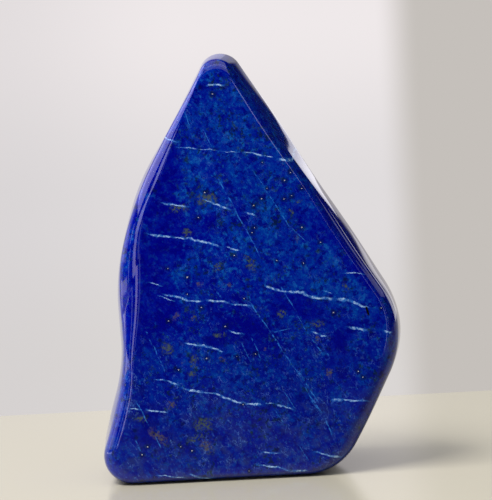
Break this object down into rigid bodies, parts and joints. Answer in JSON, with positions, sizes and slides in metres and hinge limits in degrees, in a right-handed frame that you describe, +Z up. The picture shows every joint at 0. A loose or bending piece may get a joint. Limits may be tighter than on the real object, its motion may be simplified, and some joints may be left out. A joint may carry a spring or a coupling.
{
  "type": "polished lapis lazuli freeform",
  "caption": "Free-standing freeform of polished lapis lazuli with a flat front face, rounded edges and a flat base to stand on.",
  "frame": {"origin": "middle of the stone's bounding box at its base, on the surface it stands on", "axes": "+Z up towards the tip, +X to the right of the flat front face, -Y out of the flat front face"},
  "size_m": [0.11, 0.0506, 0.1505],
  "materials": {
    "polished_lapis": "lapis lazuli ground flat or round and polished to a gloss, deep blue with thin white calcite veins and small brassy pyrite grains"
  },
  "bodies": {
    "root": {"lapis_stone": "polished_lapis"}
  },
  "joints": []
}
